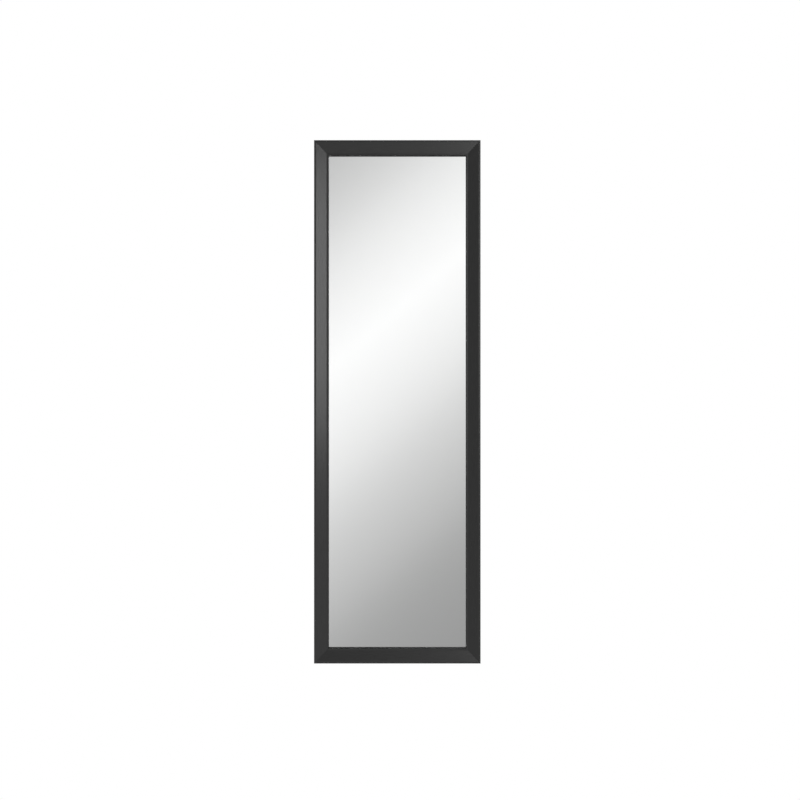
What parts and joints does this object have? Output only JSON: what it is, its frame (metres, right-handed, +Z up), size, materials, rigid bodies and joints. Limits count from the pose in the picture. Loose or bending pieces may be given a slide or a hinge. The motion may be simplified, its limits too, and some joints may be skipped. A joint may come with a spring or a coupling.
{
  "type": "full length mirror",
  "caption": "Tall narrow wall mirror in a mitred black frame whose face slopes in to the glass, with a back panel held by turn buttons and swinging hanger rings.",
  "frame": {"origin": "middle of the frame's bottom edge, halfway through the moulding's depth", "axes": "+X to the right as seen from the front, +Y from the front to the back, +Z up"},
  "size_m": [0.35, 0.0221, 1.1],
  "materials": {
    "moulding_black": "satin",
    "nail_steel": "satin",
    "clear_glass": "polished",
    "silvering": "polished",
    "liner_board": "matte",
    "hardboard": "matte",
    "plated_steel": "satin",
    "bumper_rubber": "matte"
  },
  "bodies": {
    "frame": {"frame_rail_left": "moulding_black", "frame_rail_right": "moulding_black", "frame_rail_top": "moulding_black", "frame_rail_bottom": "moulding_black", "v_nails_top_left": "nail_steel", "v_nails_top_right": "nail_steel", "v_nails_bottom_left": "nail_steel", "v_nails_bottom_right": "nail_steel", "mirror_glass": "clear_glass", "silver_coating": "silvering", "backing_liner": "liner_board", "back_panel": "hardboard", "turn_button_screws": "plated_steel", "hanger_strap_left": "plated_steel", "hanger_strap_right": "plated_steel", "hanger_screws": "plated_steel", "wall_bumper_left": "bumper_rubber", "wall_bumper_right": "bumper_rubber"},
    "hanger_ring_left": {"hanger_ring_left": "plated_steel"},
    "hanger_ring_right": {"hanger_ring_right": "plated_steel"},
    "turn_button_left_upper": {"turn_button_left_upper": "plated_steel"},
    "turn_button_left_middle": {"turn_button_left_middle": "plated_steel"},
    "turn_button_left_lower": {"turn_button_left_lower": "plated_steel"},
    "turn_button_right_upper": {"turn_button_right_upper": "plated_steel"},
    "turn_button_right_middle": {"turn_button_right_middle": "plated_steel"},
    "turn_button_right_lower": {"turn_button_right_lower": "plated_steel"},
    "turn_button_top": {"turn_button_top": "plated_steel"},
    "turn_button_bottom": {"turn_button_bottom": "plated_steel"}
  },
  "joints": [
    {"name": "hanger_ring_left_swing", "type": "hinge", "parent": "frame", "child": "hanger_ring_left", "pos_m": [-0.164, 0.011, 0.88], "axis": [1, 0, 0], "range_deg": [0, 175]},
    {"name": "hanger_ring_right_swing", "type": "hinge", "parent": "frame", "child": "hanger_ring_right", "pos_m": [0.164, 0.011, 0.88], "axis": [1, 0, 0], "range_deg": [0, 175]},
    {"name": "turn_button_left_upper_turn", "type": "hinge", "parent": "frame", "child": "turn_button_left_upper", "pos_m": [-0.159, 0.009, 0.95], "axis": [0, 1, 0], "continuous": true},
    {"name": "turn_button_left_middle_turn", "type": "hinge", "parent": "frame", "child": "turn_button_left_middle", "pos_m": [-0.159, 0.009, 0.55], "axis": [0, 1, 0], "continuous": true},
    {"name": "turn_button_left_lower_turn", "type": "hinge", "parent": "frame", "child": "turn_button_left_lower", "pos_m": [-0.159, 0.009, 0.15], "axis": [0, 1, 0], "continuous": true},
    {"name": "turn_button_right_upper_turn", "type": "hinge", "parent": "frame", "child": "turn_button_right_upper", "pos_m": [0.159, 0.009, 0.95], "axis": [0, 1, 0], "continuous": true},
    {"name": "turn_button_right_middle_turn", "type": "hinge", "parent": "frame", "child": "turn_button_right_middle", "pos_m": [0.159, 0.009, 0.55], "axis": [0, 1, 0], "continuous": true},
    {"name": "turn_button_right_lower_turn", "type": "hinge", "parent": "frame", "child": "turn_button_right_lower", "pos_m": [0.159, 0.009, 0.15], "axis": [0, 1, 0], "continuous": true},
    {"name": "turn_button_top_turn", "type": "hinge", "parent": "frame", "child": "turn_button_top", "pos_m": [0, 0.009, 1.084], "axis": [0, 1, 0], "continuous": true},
    {"name": "turn_button_bottom_turn", "type": "hinge", "parent": "frame", "child": "turn_button_bottom", "pos_m": [0, 0.009, 0.016], "axis": [0, 1, 0], "continuous": true}
  ]
}
